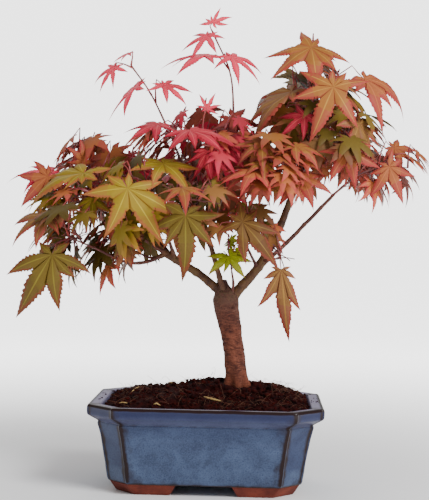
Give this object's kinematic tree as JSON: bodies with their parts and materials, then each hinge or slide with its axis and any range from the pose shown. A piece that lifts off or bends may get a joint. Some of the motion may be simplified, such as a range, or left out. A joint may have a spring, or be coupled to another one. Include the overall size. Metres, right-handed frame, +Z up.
{
  "type": "bonsai japanese maple in a glazed pot",
  "caption": "Small ornamental tree with lobed autumn leaves on a curved trunk, standing in soil in a rectangular glazed pot with cut corners and clay feet.",
  "frame": {"origin": "on the ground, under the middle of the whole plant's outline seen from above", "axes": "+Z up, +X to the right along the pot's long side as the picture shows it, +Y away from the viewer"},
  "size_m": [0.3724, 0.2256, 0.4165],
  "materials": {
    "glaze": "gloss",
    "bare_clay": "matte",
    "soil": "matte",
    "bark": "matte",
    "young_bark": "matte",
    "leaf_green": "satin",
    "leaf_olive": "satin",
    "leaf_orange": "satin",
    "leaf_crimson": "satin",
    "leaf_pink": "satin"
  },
  "bodies": {
    "root": {"pot": "glaze", "pot_foot_front_left": "bare_clay", "pot_foot_front_right": "bare_clay", "pot_foot_back_left": "bare_clay", "pot_foot_back_right": "bare_clay", "soil": "soil", "trunk": "bark", "left_bough": "young_bark", "right_bough": "young_bark", "centre_stem": "young_bark", "fork_twig": "young_bark", "left_low_limb": "young_bark", "left_under_limb": "young_bark", "left_mid_limb": "young_bark", "left_back_limb": "young_bark", "left_up_limb": "young_bark", "left_shoot_limb": "young_bark", "top_shoot_limb": "young_bark", "centre_front_limb": "young_bark", "centre_back_limb": "young_bark", "centre_low_limb": "young_bark", "right_hanging_limb": "young_bark", "right_side_bough": "young_bark", "right_inner_limb": "young_bark", "right_front_limb": "young_bark", "right_back_limb": "young_bark", "foliage_left_end": "leaf_olive", "foliage_left_upper": "leaf_green", "foliage_left_front": "leaf_green", "foliage_left_under": "leaf_olive", "foliage_left_back": "leaf_orange", "foliage_red_crown": "leaf_crimson", "foliage_left_shoot": "leaf_pink", "foliage_top_shoot": "leaf_pink", "foliage_centre_front": "leaf_olive", "foliage_centre_low": "leaf_orange", "foliage_centre_back": "leaf_orange", "foliage_sprig": "leaf_green", "foliage_top_right": "leaf_orange", "foliage_right_front": "leaf_olive", "foliage_right_end": "leaf_orange", "foliage_right_inner": "leaf_orange", "foliage_right_back": "leaf_olive", "foliage_right_hanging": "leaf_orange"}
  },
  "joints": []
}
